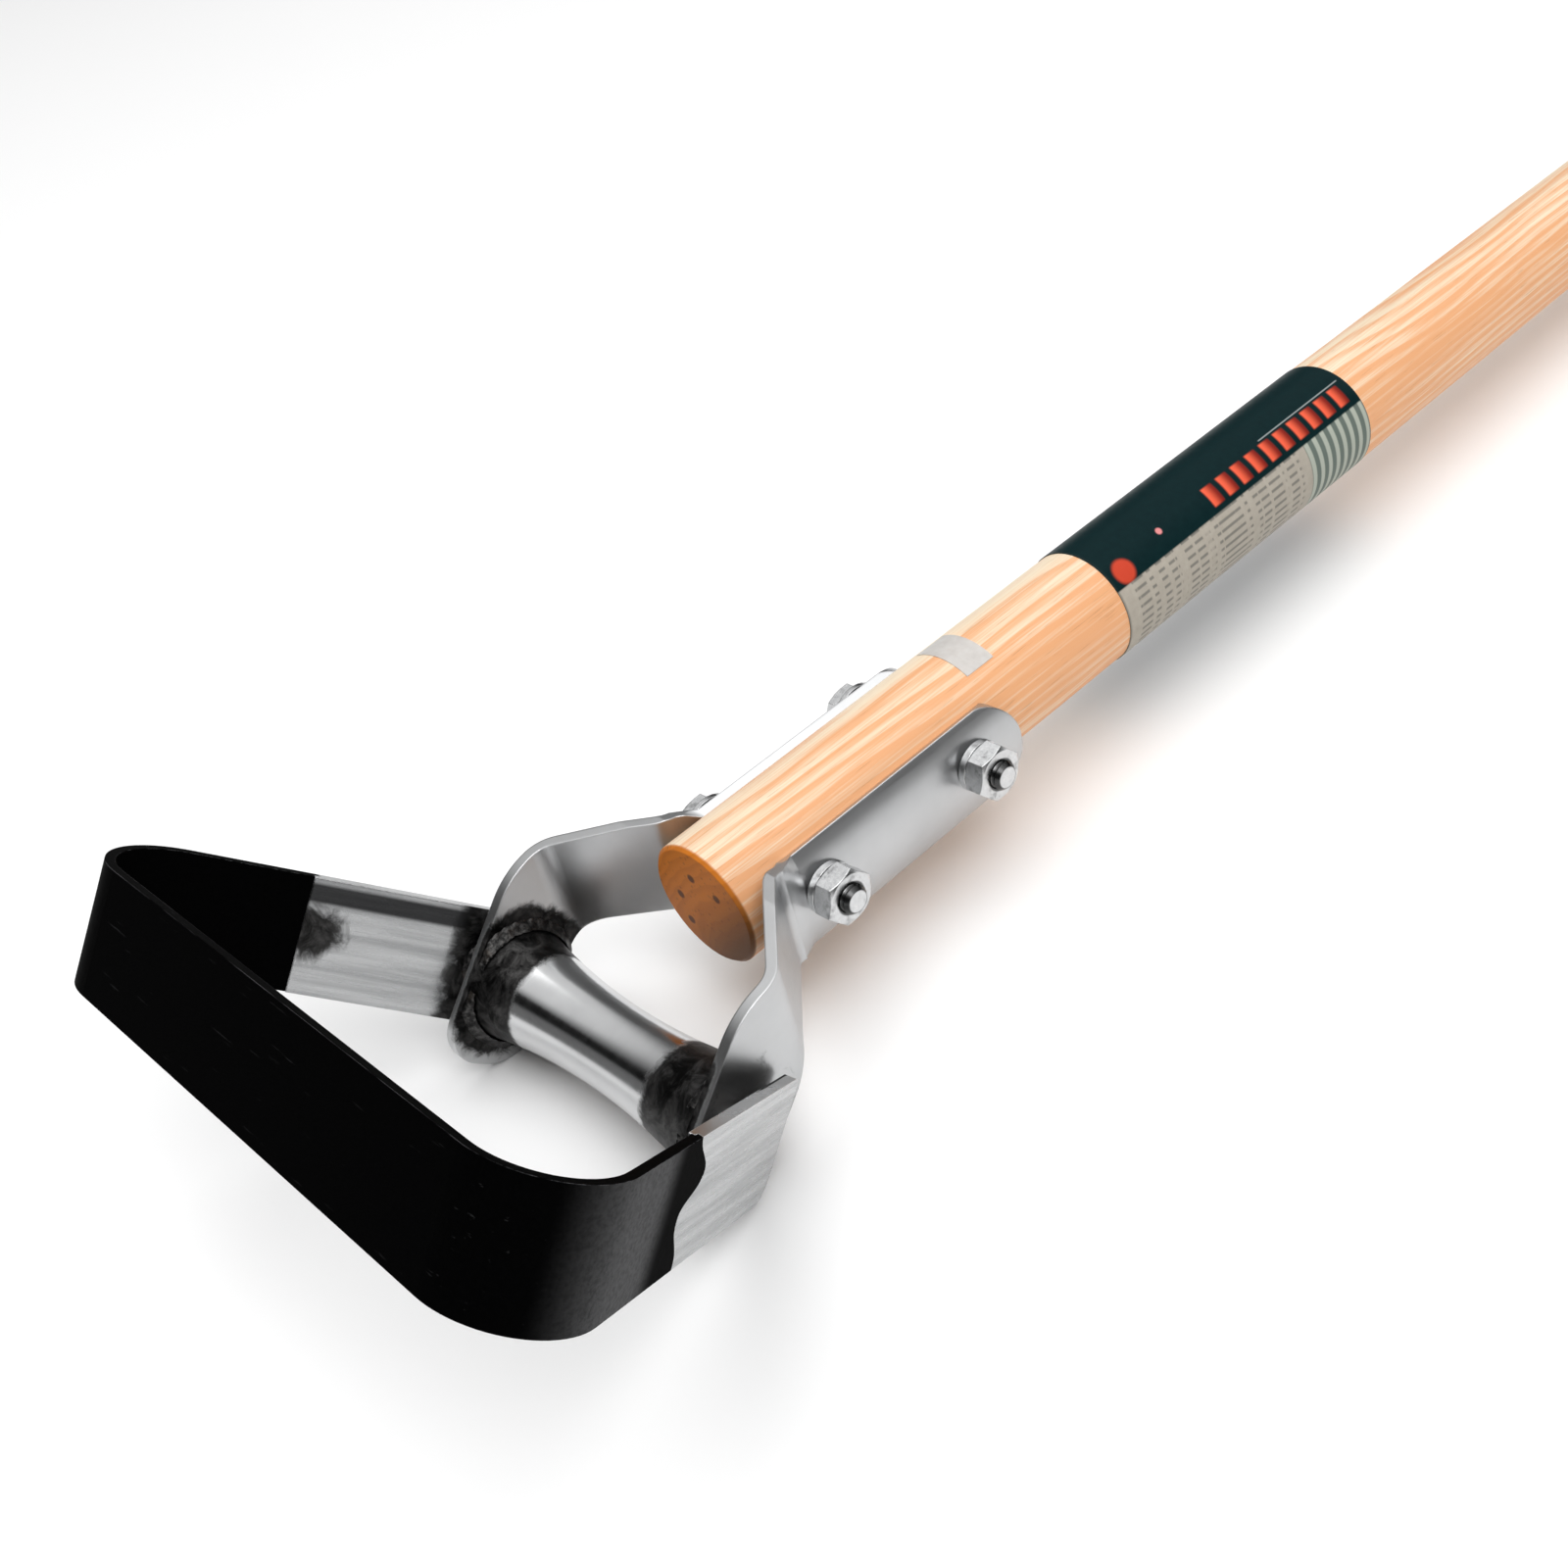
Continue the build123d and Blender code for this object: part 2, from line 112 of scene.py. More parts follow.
# ---------------------------------------------------------------- camera
# Its place, its right-hand direction and its line of sight, in the tool frame.
camera_at = (-152.85, -265.43, 246.37)
camera_right = Vector((0.70648, -0.67247, -0.22060))
camera_forward = Vector((0.45847, 0.67231, -0.58121))
sensor_mm = 36.0
lens_mm = 44.72
frame_shift = -0.0125


def make_camera():
    data = bpy.data.cameras.new("camera")
    data.sensor_width = sensor_mm
    data.lens = lens_mm
    data.shift_y = frame_shift
    data.clip_start = 0.01
    data.clip_end = 20.0
    camera = bpy.data.objects.new("camera", data)
    bpy.context.scene.collection.objects.link(camera)
    right = (tool_axes @ camera_right).normalized()
    back = -(tool_axes @ camera_forward).normalized()
    up = back.cross(right).normalized()
    right = up.cross(back)
    turned = Matrix((right, up, back)).transposed().to_4x4()
    camera.matrix_world = Matrix.Translation(place(*camera_at)) @ turned
    bpy.context.scene.camera = camera


# ---------------------------------------------------------------- floor and light
# Half the floor's side, in metres.
floor_half = 6.0


def make_floor():
    mesh = bpy.data.meshes.new("floor")
    corners = [(x * floor_half, y * floor_half, 0) for x, y in ((-1, -1), (1, -1), (1, 1), (-1, 1))]
    mesh.from_pydata(corners, [], [(0, 1, 2, 3)])
    floor = bpy.data.objects.new("floor", mesh)
    bpy.context.scene.collection.objects.link(floor)
    material = bpy.data.materials.new("floor")
    material.use_nodes = True
    shader = material.node_tree.nodes["Principled BSDF"]
    shader.inputs["Base Color"].default_value = (0.93, 0.93, 0.93, 1)
    shader.inputs["Roughness"].default_value = 0.7
    shader.inputs["Specular IOR Level"].default_value = 0.1
    mesh.materials.append(material)


def area_light(name, at, size, power):
    """A soft box aimed at the pivot, placed by its offset from it in metres."""
    data = bpy.data.lights.new(name, "AREA")
    data.shape = "RECTANGLE"
    data.size, data.size_y = size
    data.energy = power
    lamp = bpy.data.objects.new(name, data)
    bpy.context.scene.collection.objects.link(lamp)
    lamp.location = pivot + Vector(at)
    lamp.rotation_mode = "QUATERNION"
    lamp.rotation_quaternion = (-Vector(at)).to_track_quat("-Z", "Y")


# The sky's axis leans toward the grip end by this angle; each stop is (height along it, brightness).
sky_lean = math.radians(10.6)
sky_stops = [
    (0.0, 0.20),
    (0.17, 0.22),
    (0.23, 0.012),
    (0.42, 0.012),
    (0.56, 0.42),
    (0.66, 0.95),
    (0.90, 1.0),
]
sky_strength = 0.9


def make_world():
    """A studio that is bright overhead, with a black band round it that bright metal mirrors."""
    world = bpy.data.worlds.new("studio")
    world.use_nodes = True
    bpy.context.scene.world = world
    tree = world.node_tree
    direction = tree.nodes.new("ShaderNodeTexCoord")
    height = tree.nodes.new("ShaderNodeVectorMath")
    height.operation = "DOT_PRODUCT"
    height.inputs[1].default_value = (math.sin(sky_lean), 0.0, math.cos(sky_lean))
    ramp = tree.nodes.new("ShaderNodeValToRGB")
    tree.links.new(direction.outputs["Generated"], height.inputs[0])
    tree.links.new(height.outputs["Value"], ramp.inputs["Fac"])
    for element, (position, level) in zip(ramp.color_ramp.elements, (sky_stops[0], sky_stops[-1])):
        element.position = position
        element.color = (level, level, level, 1)
    for position, level in sky_stops[1:-1]:
        ramp.color_ramp.elements.new(position).color = (level, level, level, 1)
    background = tree.nodes["Background"]
    tree.links.new(ramp.outputs["Color"], background.inputs["Color"])
    background.inputs["Strength"].default_value = sky_strength


def make_lights():
    area_light("overhead", (0.1, -0.2, 2.0), (2.6, 2.6), 32.0)
    area_light("right_box", (-0.2, -1.3, 1.5), (0.9, 0.9), 9.0)
    make_world()


# ---------------------------------------------------------------- node short-hand
class Paint:
    """One material and the short calls that wire its nodes."""

    def __init__(self, name, metallic=0.0, edge_radius=0.0):
        self.material = bpy.data.materials.new(name)
        self.material.use_nodes = True
        self.tree = self.material.node_tree
        self.shader = self.tree.nodes["Principled BSDF"]
        self.shader.inputs["Metallic"].default_value = metallic
        self.normal = None
        if edge_radius:
            self.bevel = self.node("ShaderNodeBevel", {"Radius": edge_radius * MM}, samples=6)
            self.normal = self.bevel.outputs["Normal"]

    def node(self, kind, inputs, **settings):
        made = self.tree.nodes.new(kind)
        for key, value in settings.items():
            setattr(made, key, value)
        for key, value in inputs.items():
            if isinstance(value, bpy.types.NodeSocket):
                self.tree.links.new(value, made.inputs[key])
            else:
                made.inputs[key].default_value = value
        return made

    def math(self, operation, first, second=0.0, clamp=False):
        inputs = {0: first, 1: second}
        return self.node("ShaderNodeMath", inputs, operation=operation, use_clamp=clamp).outputs[0]

    def coordinates(self, origin, axes):
        """Position in millimetres along the given axes from an origin."""
        source = self.node("ShaderNodeTexCoord", {})
        inputs = {
            "Vector": source.outputs["Object"],
            "Location": tuple(origin),
            "Rotation": tuple(axes.to_euler()),
            "Scale": (MM, MM, MM),
        }
        return self.node("ShaderNodeMapping", inputs, vector_type="TEXTURE").outputs["Vector"]

    def tool(self):
        return self.coordinates(working_end, tool_axes)

    def about_pivot(self):
        return self.coordinates(pivot, tool_axes)

    def loop(self):
        return self.coordinates(pivot, loop_axes)

    def split(self, vector):
        parts = self.node("ShaderNodeSeparateXYZ", {"Vector": vector})
        return parts.outputs["X"], parts.outputs["Y"], parts.outputs["Z"]

    def stretch(self, vector, factors):
        made = self.node("ShaderNodeVectorMath", {0: vector, 1: factors}, operation="MULTIPLY")
        return made.outputs["Vector"]

    def noise(self, vector, scale, detail=3.0, roughness=0.55, distortion=0.0):
        inputs = {
            "Vector": vector,
            "Scale": scale,
            "Detail": detail,
            "Roughness": roughness,
            "Distortion": distortion,
        }
        return self.node("ShaderNodeTexNoise", inputs).outputs["Fac"]

    def cells(self, vector, scale):
        return self.node("ShaderNodeTexVoronoi", {"Vector": vector, "Scale": scale}).outputs["Distance"]

    def distance(self, first, second):
        """Length of the vector with these two components."""
        squares = [self.math("POWER", part, 2.0) for part in (first, second)]
        return self.math("SQRT", self.math("ADD", *squares))

    def offset(self, value, start):
        return self.math("SUBTRACT", value, start)

    def between(self, value, low, high, start=0.0, end=1.0):
        """Smooth change from start to end as the value goes from low to high."""
        inputs = {"Value": value, "From Min": low, "From Max": high, "To Min": start, "To Max": end}
        return self.node("ShaderNodeMapRange", inputs, interpolation_type="SMOOTHSTEP").outputs["Result"]

    def band(self, value, low, high, soft):
        """1 between low and high, 0 outside, with edges of the given softness."""
        rise = self.between(value, low - soft, low + soft)
        fall = self.between(value, high - soft, high + soft, 1.0, 0.0)
        return self.math("MULTIPLY", rise, fall)

    def mix(self, amount, first, second):
        """Colour mix; plain colours are three numbers."""
        inputs = {0: amount}
        for key, colour in ((6, first), (7, second)):
            inputs[key] = colour if isinstance(colour, bpy.types.NodeSocket) else (*colour, 1)
        return self.node("ShaderNodeMix", inputs, data_type="RGBA").outputs[2]

    def bump(self, height, strength, depth):
        """Adds a relief of the given depth in millimetres."""
        inputs = {"Height": height, "Strength": strength, "Distance": depth * MM}
        if self.normal is not None:
            inputs["Normal"] = self.normal
        self.normal = self.node("ShaderNodeBump", inputs).outputs["Normal"]

    def edge_wear(self):
        """Close to 1 on outer edges, from how far the rounded normal leaves the true one."""
        true = self.node("ShaderNodeNewGeometry", {}).outputs["Normal"]
        inputs = {0: self.bevel.outputs["Normal"], 1: true}
        dot = self.node("ShaderNodeVectorMath", inputs, operation="DOT_PRODUCT")
        return self.between(dot.outputs["Value"], 0.70, 0.93, 1.0, 0.0)

    def finish(self, colour, roughness):
        self.tree.links.new(colour, self.shader.inputs["Base Color"])
        self.tree.links.new(roughness, self.shader.inputs["Roughness"])
        if self.normal is not None:
            self.tree.links.new(self.normal, self.shader.inputs["Normal"])
        return self.material


# ---------------------------------------------------------------- materials
def wood():
    """Pale ash, thinly lacquered: growth rings cut lengthwise, fibres, pores, and darker end grain, with painted
    shade on the right (-y) side and toward the lower right corner of the end.
    """
    paint = Paint("wood", edge_radius=0.5)
    place_mm = paint.tool()
    x, y, z = paint.split(place_mm)
    wander = paint.noise(paint.stretch(place_mm, (0.006, 0.03, 0.03)), 1.0, 3.0, 0.5)
    drift = paint.math("MULTIPLY", wander, pith_wander)
    pith_y = paint.math("ADD", paint.math("ADD", y, pith_side), drift)
    pith_z = paint.math("ADD", paint.math("ADD", z, pith_below), paint.math("MULTIPLY", x, pith_slope))
    radius = paint.distance(pith_y, pith_z)
    phase = paint.math("FRACT", paint.math("MULTIPLY", radius, rings_per_mm))
    ring_start = paint.between(phase, 0.25, 0.82)
    ring_end = paint.between(phase, 0.9, 1.0, 1.0, 0.0)
    late_wood = paint.math("MULTIPLY", ring_start, ring_end)
    fibre = paint.noise(paint.stretch(place_mm, (0.035, 2.1, 2.1)), 1.0, 4.0, 0.6)
    patches = paint.noise(paint.stretch(place_mm, (0.012, 0.09, 0.09)), 1.0, 2.0)
    pores = paint.between(paint.noise(paint.stretch(place_mm, (0.11, 3.4, 3.4)), 1.0, 2.0, 0.5), 0.63, 0.72)
    tone = paint.math("ADD", paint.math("MULTIPLY", late_wood, 0.24), paint.math("MULTIPLY", fibre, 0.72))
    tone = paint.math("ADD", tone, paint.math("MULTIPLY", patches, 0.45))
    # Painted shade: the tone is pushed toward the darker orange on the wood's right (-y) side.
    tone = paint.math("ADD", tone, paint.between(y, 6.0, -14.0, 0.0, 0.22), clamp=True)
    side_grain = paint.mix(paint.between(tone, 0.45, 0.98), (0.84, 0.71, 0.53), (0.78, 0.39, 0.19))
    side_grain = paint.mix(paint.math("MULTIPLY", pores, 0.35), side_grain, (0.42, 0.20, 0.08))
    speckle = paint.cells(paint.stretch(place_mm, (0.05, 1.0, 1.0)), 0.62)
    vessel = paint.between(speckle, 0.10, 0.30, 1.0, 0.0)
    end_grain = paint.mix(paint.math("MULTIPLY", late_wood, 0.35), (0.66, 0.20, 0.02), (0.46, 0.12, 0.012))
    end_grain = paint.mix(paint.math("MULTIPLY", vessel, 0.35), end_grain, (0.13, 0.045, 0.015))
    # Painted shade: the end grain darkens toward its lower right (-y, -z) corner.
    end_grain = paint.mix(paint.between(paint.math("ADD", y, z), 4.0, -18.0), end_grain, (0.15, 0.055, 0.012))
    for knot_y, knot_z in end_knots:
        off_y = paint.math("POWER", paint.offset(y, knot_y), 2.0)
        off_z = paint.math("POWER", paint.offset(z, knot_z), 2.0)
        hole = paint.between(paint.math("ADD", off_y, off_z), 0.5, 1.6, 0.85, 0.0)
        end_grain = paint.mix(hole, end_grain, (0.055, 0.018, 0.006))
    at_end = paint.between(x, 0.5, 1.1, 1.0, 0.0)
    colour = paint.mix(at_end, side_grain, end_grain)
    relief = paint.math("SUBTRACT", paint.math("MULTIPLY", fibre, 0.6), paint.math("MULTIPLY", pores, 0.6))
    paint.bump(relief, 0.35, 0.12)
    paint.shader.inputs["Coat Weight"].default_value = 0.08
    paint.shader.inputs["Coat Roughness"].default_value = 0.35
    paint.shader.inputs["Specular IOR Level"].default_value = 0.18
    roughness = paint.math("ADD", paint.math("MULTIPLY", fibre, 0.22), 0.36)
    return paint.finish(colour, roughness)


def printed_label():
    """Dark teal film with a row of plain red blocks, a pale panel of ruled lines and end bars."""
    paint = Paint("printed_label")
    place_mm = paint.tool()
    x, y, z = paint.split(place_mm)
    turn = paint.math("MODULO", paint.math("ADD", paint.math("ARCTAN2", z, y), 2 * math.pi), 2 * math.pi)
    angle = paint.math("MULTIPLY", turn, 180 / math.pi)
    grain = paint.noise(paint.stretch(place_mm, (0.5, 0.5, 0.5)), 1.0, 4.0)
    colour = paint.mix(grain, (0.002, 0.012, 0.014), (0.004, 0.020, 0.022))

    # plain block row: alternate blocks and gaps, shaded across each block
    step = paint.math("FRACT", paint.math("DIVIDE", paint.offset(x, block_start), block_pitch))
    block = paint.math("MULTIPLY", paint.band(step, 0.14, 0.80, 0.07), paint.band(x, 156.0, 211.0, 0.3))
    block = paint.math("MULTIPLY", block, paint.band(angle, 120.0, 141.0, 1.2))
    glow = paint.mix(paint.between(step, 0.2, 0.75), (0.80, 0.12, 0.06), (0.22, 0.018, 0.012))
    colour = paint.mix(block, colour, glow)

    # round mark near the working end, a small dot, and a thin rule
    across = paint.math("MULTIPLY", paint.offset(angle, mark_at[1]), mm_per_degree)
    along = paint.offset(x, mark_at[0])
    spot = paint.distance(along, across)
    colour = paint.mix(paint.between(spot, 2.4, 3.6, 1.0, 0.0), colour, (0.55, 0.06, 0.03))
    across_dot = paint.math("MULTIPLY", paint.offset(angle, dot_at[1]), mm_per_degree)
    along_dot = paint.offset(x, dot_at[0])
    dot = paint.distance(along_dot, across_dot)
    colour = paint.mix(paint.between(dot, 0.6, 1.1, 1.0, 0.0), colour, (0.70, 0.25, 0.25))
    rule = paint.math("MULTIPLY", paint.band(angle, 116.0, 117.4, 0.4), paint.band(x, 180.0, 212.0, 0.4))
    colour = paint.mix(rule, colour, (0.25, 0.28, 0.28))

    # pale panel on the lower side, ruled with short plain dashes
    panel = paint.band(angle, 147.0, 236.0, 1.0)
    paper = paint.mix(grain, (0.34, 0.31, 0.26), (0.46, 0.42, 0.36))
    line = paint.band(paint.math("FRACT", paint.math("DIVIDE", angle, 8.0)), 0.28, 0.62, 0.1)
    dashes = paint.between(paint.noise(paint.stretch(place_mm, (0.55, 0.02, 0.02)), 1.0, 1.0), 0.42, 0.50)
    ruled = paint.math("MULTIPLY", line, dashes)
    ruled = paint.math("MULTIPLY", ruled, paint.band(x, 123.0, 186.0, 0.6))
    paper = paint.mix(paint.math("MULTIPLY", ruled, 0.7), paper, (0.12, 0.12, 0.11))
    stripes = paint.band(paint.math("FRACT", paint.math("DIVIDE", x, 3.2)), 0.25, 0.72, 0.08)
    end_bars = paint.mix(stripes, (0.13, 0.16, 0.14), (0.40, 0.43, 0.37))
    paper = paint.mix(paint.between(x, 189.0, 189.8), paper, end_bars)
    colour = paint.mix(panel, colour, paper)
    rim = paint.math("ADD", paint.between(x, label_near, label_near + 0.8, 1.0, 0.0),
                     paint.between(x, label_far - 0.8, label_far, 0.0, 1.0), clamp=True)
    colour = paint.mix(paint.math("MULTIPLY", rim, 0.5), colour, (0.02, 0.03, 0.03))
    paint.bump(grain, 0.25, 0.1)
    paint.shader.inputs["Specular IOR Level"].default_value = 0.04
    return paint.finish(colour, paint.math("ADD", paint.math("MULTIPLY", grain, 0.2), 0.28))


def sticker_film():
    """Pale film that lets some of the wood show, lightly wrinkled."""
    paint = Paint("sticker_film")
    wrinkle = paint.noise(paint.stretch(paint.tool(), (0.5, 0.5, 0.5)), 1.0, 4.0)
    colour = paint.mix(wrinkle, (0.58, 0.55, 0.52), (0.80, 0.79, 0.77))
    paint.bump(wrinkle, 0.4, 0.25)
    paint.shader.inputs["Alpha"].default_value = 0.7
    return paint.finish(colour, paint.math("ADD", paint.math("MULTIPLY", wrinkle, 0.25), 0.25))


def scorch(paint, place_mm, burn, bright, level):
    """Colour and roughness of bright metal, darkened with a mottled edge where welding has burnt it, and also
    where a hanger's mask holds painted shadow near the axle.
    """
    mottle = paint.noise(place_mm, 0.22, 5.0, 0.7, 0.6)
    edge = paint.math("ADD", burn, paint.math("MULTIPLY", paint.offset(mottle, 0.5), 1.1))
    amount = paint.between(edge, 0.35, 0.75)
    soot_and_shadow = paint.mix(paint.between(mottle, 0.35, 0.75), (0.003, 0.003, 0.003), (0.085, 0.083, 0.082))
    colour = paint.mix(amount, bright, soot_and_shadow)
    roughness = paint.math("ADD", level, paint.math("MULTIPLY", amount, 0.32), clamp=True)
    return colour, roughness


def strap_zinc():
    """Bright zinc plate on the straps: rolled streaks, faint blotches, burnt round the pivot."""
    paint = Paint("strap_zinc", 1.0, 0.5)
    place_mm = paint.about_pivot()
    x, y, z = paint.split(place_mm)
    streaks = paint.noise(paint.stretch(place_mm, (0.05, 1.2, 1.2)), 1.0, 4.0, 0.6)
    cloud = paint.noise(place_mm, 0.05, 4.0, 0.6)
    bright = paint.mix(cloud, (0.42, 0.425, 0.43), (0.58, 0.585, 0.59))
    bright = paint.mix(paint.math("MULTIPLY", paint.edge_wear(), 0.6), bright, (0.93, 0.93, 0.93))
    from_axis = paint.distance(x, z)
    inner_face = paint.between(paint.math("ABSOLUTE", y), 35.4, 37.0, 1.0, 0.35)
    burn = paint.math("MULTIPLY", paint.between(from_axis, 14.0, 22.0, 1.0, 0.0), inner_face)
    burn = paint.math("MULTIPLY", burn, paint.between(z, -16.0, -6.0, 0.45, 1.0))
    level = paint.math("ADD", paint.math("MULTIPLY", streaks, 0.14), 0.27)
    colour, roughness = scorch(paint, place_mm, burn, bright, level)
    paint.bump(streaks, 0.05, 0.03)
    return paint.finish(colour, roughness)


def sleeve_zinc():
    """Bright drawn tube with turning marks, sooty at the welded ends."""
    paint = Paint("sleeve_zinc", 1.0, 0.3)
    place_mm = paint.about_pivot()
    y = paint.split(place_mm)[1]
    rings = paint.noise(paint.stretch(place_mm, (0.12, 1.6, 0.12)), 1.0, 4.0, 0.6)
    cloud = paint.noise(place_mm, 0.06, 3.0)
    bright = paint.mix(cloud, (0.48, 0.485, 0.49), (0.68, 0.685, 0.69))
    burn = paint.math("MAXIMUM", paint.between(y, 20.0, 26.0), paint.between(y, -14.0, -23.0))
    level = paint.math("ADD", paint.math("MULTIPLY", rings, 0.14), 0.11)
    colour, roughness = scorch(paint, place_mm, burn, bright, level)
    paint.bump(rings, 0.10, 0.05)
    return paint.finish(colour, roughness)


def hanger_zinc():
    """Bright strip with long brushed bands; its inner face is burnt at the blade's lap, burnt and darkened with
    painted shadow near the axle, and carries a lengthwise band of painted shade.
    """
    paint = Paint("hanger_zinc", 1.0, 0.4)
    place_mm = paint.loop()
    out, across, down = paint.split(place_mm)
    bands = paint.noise(paint.stretch(place_mm, (0.02, 0.02, 0.42)), 1.0, 3.0, 0.6)
    brushed = paint.noise(paint.stretch(place_mm, (0.05, 0.2, 1.3)), 1.0, 4.0, 0.6)
    bright = paint.mix(paint.between(bands, 0.30, 0.72), (0.36, 0.365, 0.37), (0.56, 0.565, 0.57))
    bright = paint.mix(paint.math("MULTIPLY", paint.edge_wear(), 0.6), bright, (0.93, 0.93, 0.93))
    # Near the axle the inner face darkens with heat tint from the axle weld and with painted shadow of the plate's
    # front edge.
    axle_burn_and_shadow = paint.between(out, 6.0, 15.0, 1.0, 0.0)
    lap_spot = paint.distance(paint.offset(out, lap_burn_out), paint.offset(down, lap_burn_down))
    burn = paint.math("MAXIMUM", axle_burn_and_shadow, paint.between(lap_spot, 2.0, 12.0, 0.8, 0.0))
    lean = paint.math("MULTIPLY", out, math.tan(arm_angle))
    outside = paint.math("SUBTRACT", paint.math("ABSOLUTE", across), lean)
    inner_face = paint.between(outside, arm_offset - 1.1, arm_offset - 0.6, 1.0, 0.0)
    burn = paint.math("MULTIPLY", burn, inner_face)
    # Painted shade: a near-black lengthwise band along the inner face, near its upper edge.
    painted_shade_strip = paint.math("MULTIPLY", inner_face, 0.92)
    painted_shade_strip = paint.math("MULTIPLY", paint.band(down, -11.5, -7.5, 0.5), painted_shade_strip)
    bright = paint.mix(painted_shade_strip, bright, (0.015, 0.015, 0.016))
    level = paint.math("ADD", paint.math("MULTIPLY", brushed, 0.09), 0.23)
    colour, roughness = scorch(paint, place_mm, burn, bright, level)
    paint.bump(brushed, 0.06, 0.03)
    return paint.finish(colour, roughness)


def blade_black():
    """Satin black over steel: fine tooth, scuffs, rubbed edges, and a painted sheen of lighter grey outside on
    both arms.
    """
    paint = Paint("blade_black", 0.0, 0.3)
    place_mm = paint.loop()
    out, across = paint.split(place_mm)[:2]
    tooth = paint.noise(place_mm, 1.1, 4.0, 0.65)
    drag = paint.noise(paint.stretch(place_mm, (0.9, 0.07, 1.3)), 1.0, 4.0, 0.6)
    colour = paint.mix(tooth, (0.0004, 0.0004, 0.0004), (0.0016, 0.0016, 0.0017))
    facing = paint.split(paint.node("ShaderNodeNewGeometry", {}).outputs["Normal"])[1]
    facing = paint.math("MULTIPLY", facing, paint.math("SIGN", across))
    # Painted sheen: lighter grey on the outward faces of both arms, between 42 and 76 mm out.
    arm = paint.math("MULTIPLY", paint.between(facing, 0.50, 0.90), paint.between(out, 42.0, 50.0))
    arm = paint.math("MULTIPLY", arm, paint.between(out, 76.0, 56.0))
    painted_sheen = paint.math("MULTIPLY", arm, paint.between(tooth, 0.2, 0.7, 0.55, 1.0))
    colour = paint.mix(painted_sheen, colour, (0.10, 0.10, 0.102))
    toward_front = paint.between(out, 62.0, 82.0, 0.0, 0.30)
    scuffs = paint.math("MULTIPLY", paint.between(drag, 0.66, 0.74), toward_front)
    colour = paint.mix(scuffs, colour, (0.05, 0.05, 0.052))
    rub = paint.math("MULTIPLY", paint.edge_wear(), paint.between(drag, 0.42, 0.62))
    colour = paint.mix(paint.math("MULTIPLY", rub, 0.6), colour, (0.20, 0.20, 0.21))
    paint.bump(tooth, 0.22, 0.06)
    paint.shader.inputs["Specular IOR Level"].default_value = 0.004
    return paint.finish(colour, paint.math("ADD", paint.math("MULTIPLY", tooth, 0.2), 0.42))


def weld_metal():
    """Heat-tinted bead with brighter ripples."""
    paint = Paint("weld_metal", 0.9)
    place_mm = paint.about_pivot()
    grit = paint.noise(place_mm, 0.7, 5.0, 0.7)
    tint = paint.noise(place_mm, 0.16, 2.0)
    colour = paint.mix(paint.between(grit, 0.38, 0.72), (0.010, 0.010, 0.010), (0.10, 0.097, 0.095))
    colour = paint.mix(paint.between(tint, 0.55, 0.75, 0.0, 0.3), colour, (0.07, 0.05, 0.035))
    paint.bump(grit, 0.5, 0.3)
    return paint.finish(colour, paint.math("ADD", paint.math("MULTIPLY", grit, 0.3), 0.32))


def axle_steel():
    """Plain drawn rod, fine lengthwise lines with a little oil staining."""
    paint = Paint("axle_steel", 1.0)
    place_mm = paint.about_pivot()
    drawn = paint.noise(paint.stretch(place_mm, (1.8, 0.05, 1.8)), 1.0, 3.0)
    stain = paint.noise(place_mm, 0.12, 4.0)
    colour = paint.mix(stain, (0.16, 0.155, 0.15), (0.42, 0.42, 0.42))
    paint.bump(drawn, 0.15, 0.05)
    return paint.finish(colour, paint.math("ADD", paint.math("MULTIPLY", drawn, 0.2), 0.25))


def fastener_zinc():
    """Bright zinc plate with a slight grain, dull dirt, and dark thread ends outside the nuts."""
    paint = Paint("fastener_zinc", 1.0, 0.25)
    place_mm = paint.tool()
    grain = paint.noise(place_mm, 0.9, 4.0, 0.6)
    dirt = paint.between(paint.noise(place_mm, 0.35, 4.0, 0.6), 0.52, 0.72)
    bright = paint.mix(grain, (0.45, 0.455, 0.46), (0.72, 0.725, 0.73))
    colour = paint.mix(paint.math("MULTIPLY", dirt, 0.6), bright, (0.13, 0.13, 0.13))
    colour = paint.mix(paint.math("MULTIPLY", paint.edge_wear(), 0.5), colour, (0.88, 0.88, 0.88))
    x, y, z = paint.split(place_mm)
    past_front = paint.math("GREATER_THAN", x, bolt_front + bolt_spacing / 2)
    bolt_step = paint.math("MULTIPLY", past_front, bolt_spacing)
    from_bolt = paint.math("SUBTRACT", paint.offset(x, bolt_front), bolt_step)
    height = paint.offset(z, bolt_height)
    radius = paint.distance(from_bolt, height)
    ring = paint.band(radius, thread_inner, thread_outer, 0.2)
    thread = paint.math("MULTIPLY", ring, paint.between(y, nut_face_y, thread_full_y))
    colour = paint.mix(paint.math("MULTIPLY", thread, 0.93), colour, (0.02, 0.02, 0.02))
    paint.bump(grain, 0.2, 0.06)
    return paint.finish(colour, paint.math("ADD", paint.math("MULTIPLY", grain, 0.2), 0.14))


# ---------------------------------------------------------------- weld beads
# Mesh size, heights of ripples and lumps, how far the whole surface sinks, and width of a lump.
bead_mesh = 0.3
bead_ripple = 0.04
bead_lump = 0.26
bead_sink = 0.12
bead_lump_size = 1.7

# How far the ripples wander, in radians of their own phase, and over what length.
bead_wander = 2.5
bead_wander_size = 6.0

# Ripple pitch in radians round the pivot.
sleeve_weld_pitch = 0.16
axle_weld_pitch = 0.26


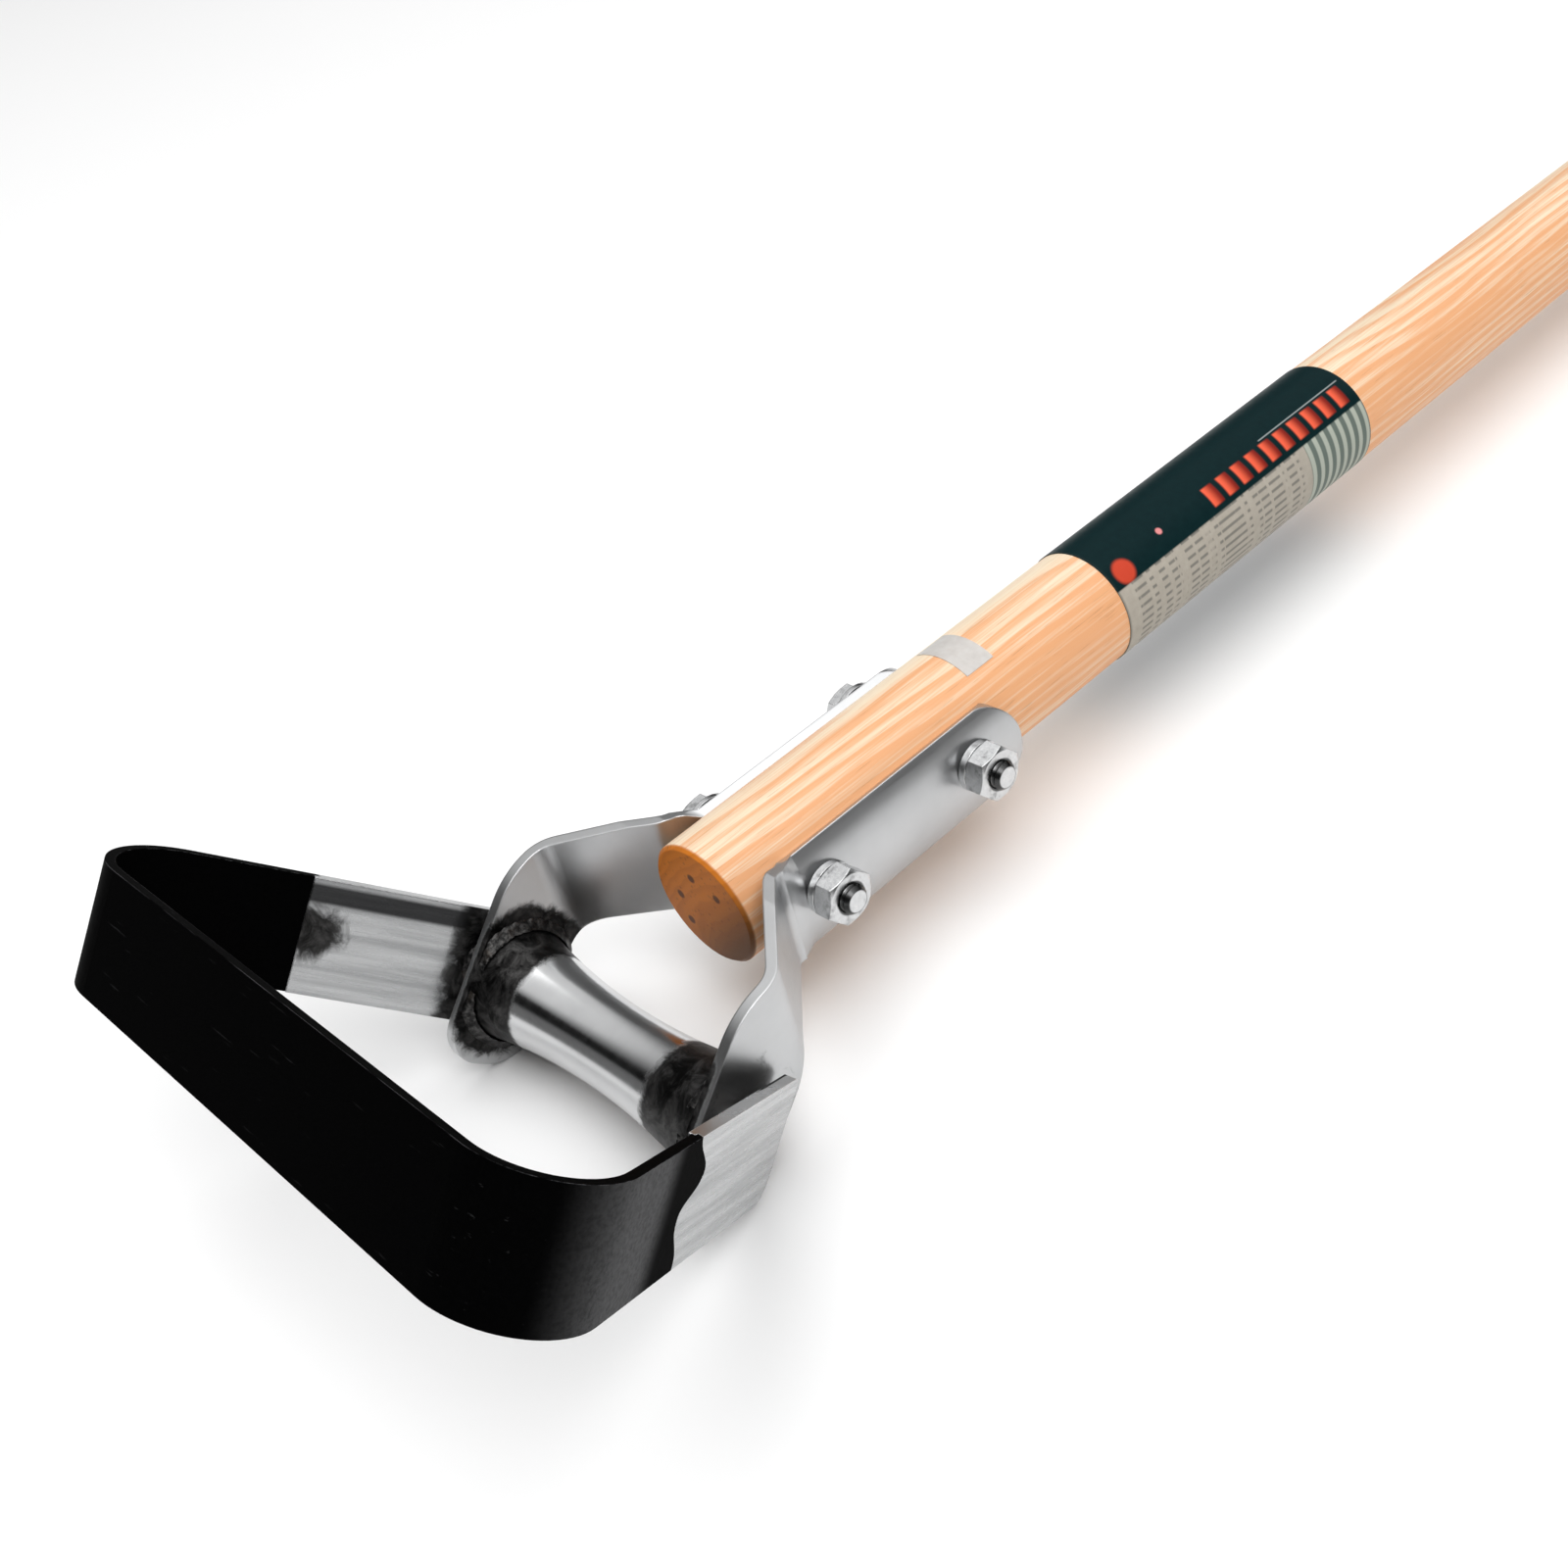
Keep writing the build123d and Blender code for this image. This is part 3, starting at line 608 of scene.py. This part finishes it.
def weld_bead(name, body, ripple_pitch):
    """A lumpy bead on the plain one's place: fine mesh, ripples round the pivot, small irregular lumps."""
    mesh = nodes[name].data.copy()
    mesh.materials.clear()
    bead = bpy.data.objects.new(f"{name}_bead", mesh)
    bpy.context.scene.collection.objects.link(bead)
    fine = bead.modifiers.new("fine", "REMESH")
    fine.mode = "VOXEL"
    fine.voxel_size = bead_mesh * MM
    smooth = bead.modifiers.new("smooth", "SMOOTH")
    smooth.iterations = 3
    depsgraph = bpy.context.evaluated_depsgraph_get()
    detailed = bpy.data.meshes.new_from_object(bead.evaluated_get(depsgraph))
    bead.modifiers.clear()
    bead.data = detailed
    work = bmesh.new()
    work.from_mesh(detailed)
    work.normal_update()
    moves = []
    for vertex in work.verts:
        offset = vertex.co - pivot
        turn = math.atan2(offset.dot(tool_z), offset.dot(tool_x))
        wander = bead_wander * noise.noise(vertex.co / (bead_wander_size * MM))
        ripple = math.cos(turn * 2 * math.pi / ripple_pitch + wander)
        lump = noise.noise(vertex.co / (bead_lump_size * MM))
        moves.append(vertex.normal * (bead_ripple * ripple + bead_lump * lump - bead_sink) * MM)
    for vertex, move in zip(work.verts, moves):
        vertex.co += move
    work.to_mesh(detailed)
    work.free()
    for face in detailed.polygons:
        face.use_smooth = True
    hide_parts(name)
    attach(bead, body)
    return bead


# ---------------------------------------------------------------- the scene
make_camera()
make_floor()
make_lights()
bpy.context.scene.view_settings.view_transform = "Standard"

zinc_strap = strap_zinc()
zinc_hanger = hanger_zinc()
zinc_fastener = fastener_zinc()
bead_metal = weld_metal()
finishes = {
    "handle": wood(),
    "label_sleeve": printed_label(),
    "price_sticker": sticker_film(),
    "cross_sleeve": sleeve_zinc(),
    "axle_rod": axle_steel(),
    "blade": blade_black(),
}
for side in ("left", "right"):
    finishes[f"yoke_plate_{side}"] = zinc_strap
    finishes[f"hanger_{side}"] = zinc_hanger
    finishes[f"sleeve_weld_{side}"] = bead_metal
    finishes[f"axle_weld_{side}"] = bead_metal
for name, node in nodes.items():
    node.data.materials.clear()
    node.data.materials.append(finishes.get(name, zinc_fastener))

weld_kinds = [("sleeve_weld", "yoke", sleeve_weld_pitch), ("axle_weld", "stirrup", axle_weld_pitch)]
for side in ("left", "right"):
    for kind, body, pitch in weld_kinds:
        weld_bead(f"{kind}_{side}", body, pitch).data.materials.append(bead_metal)
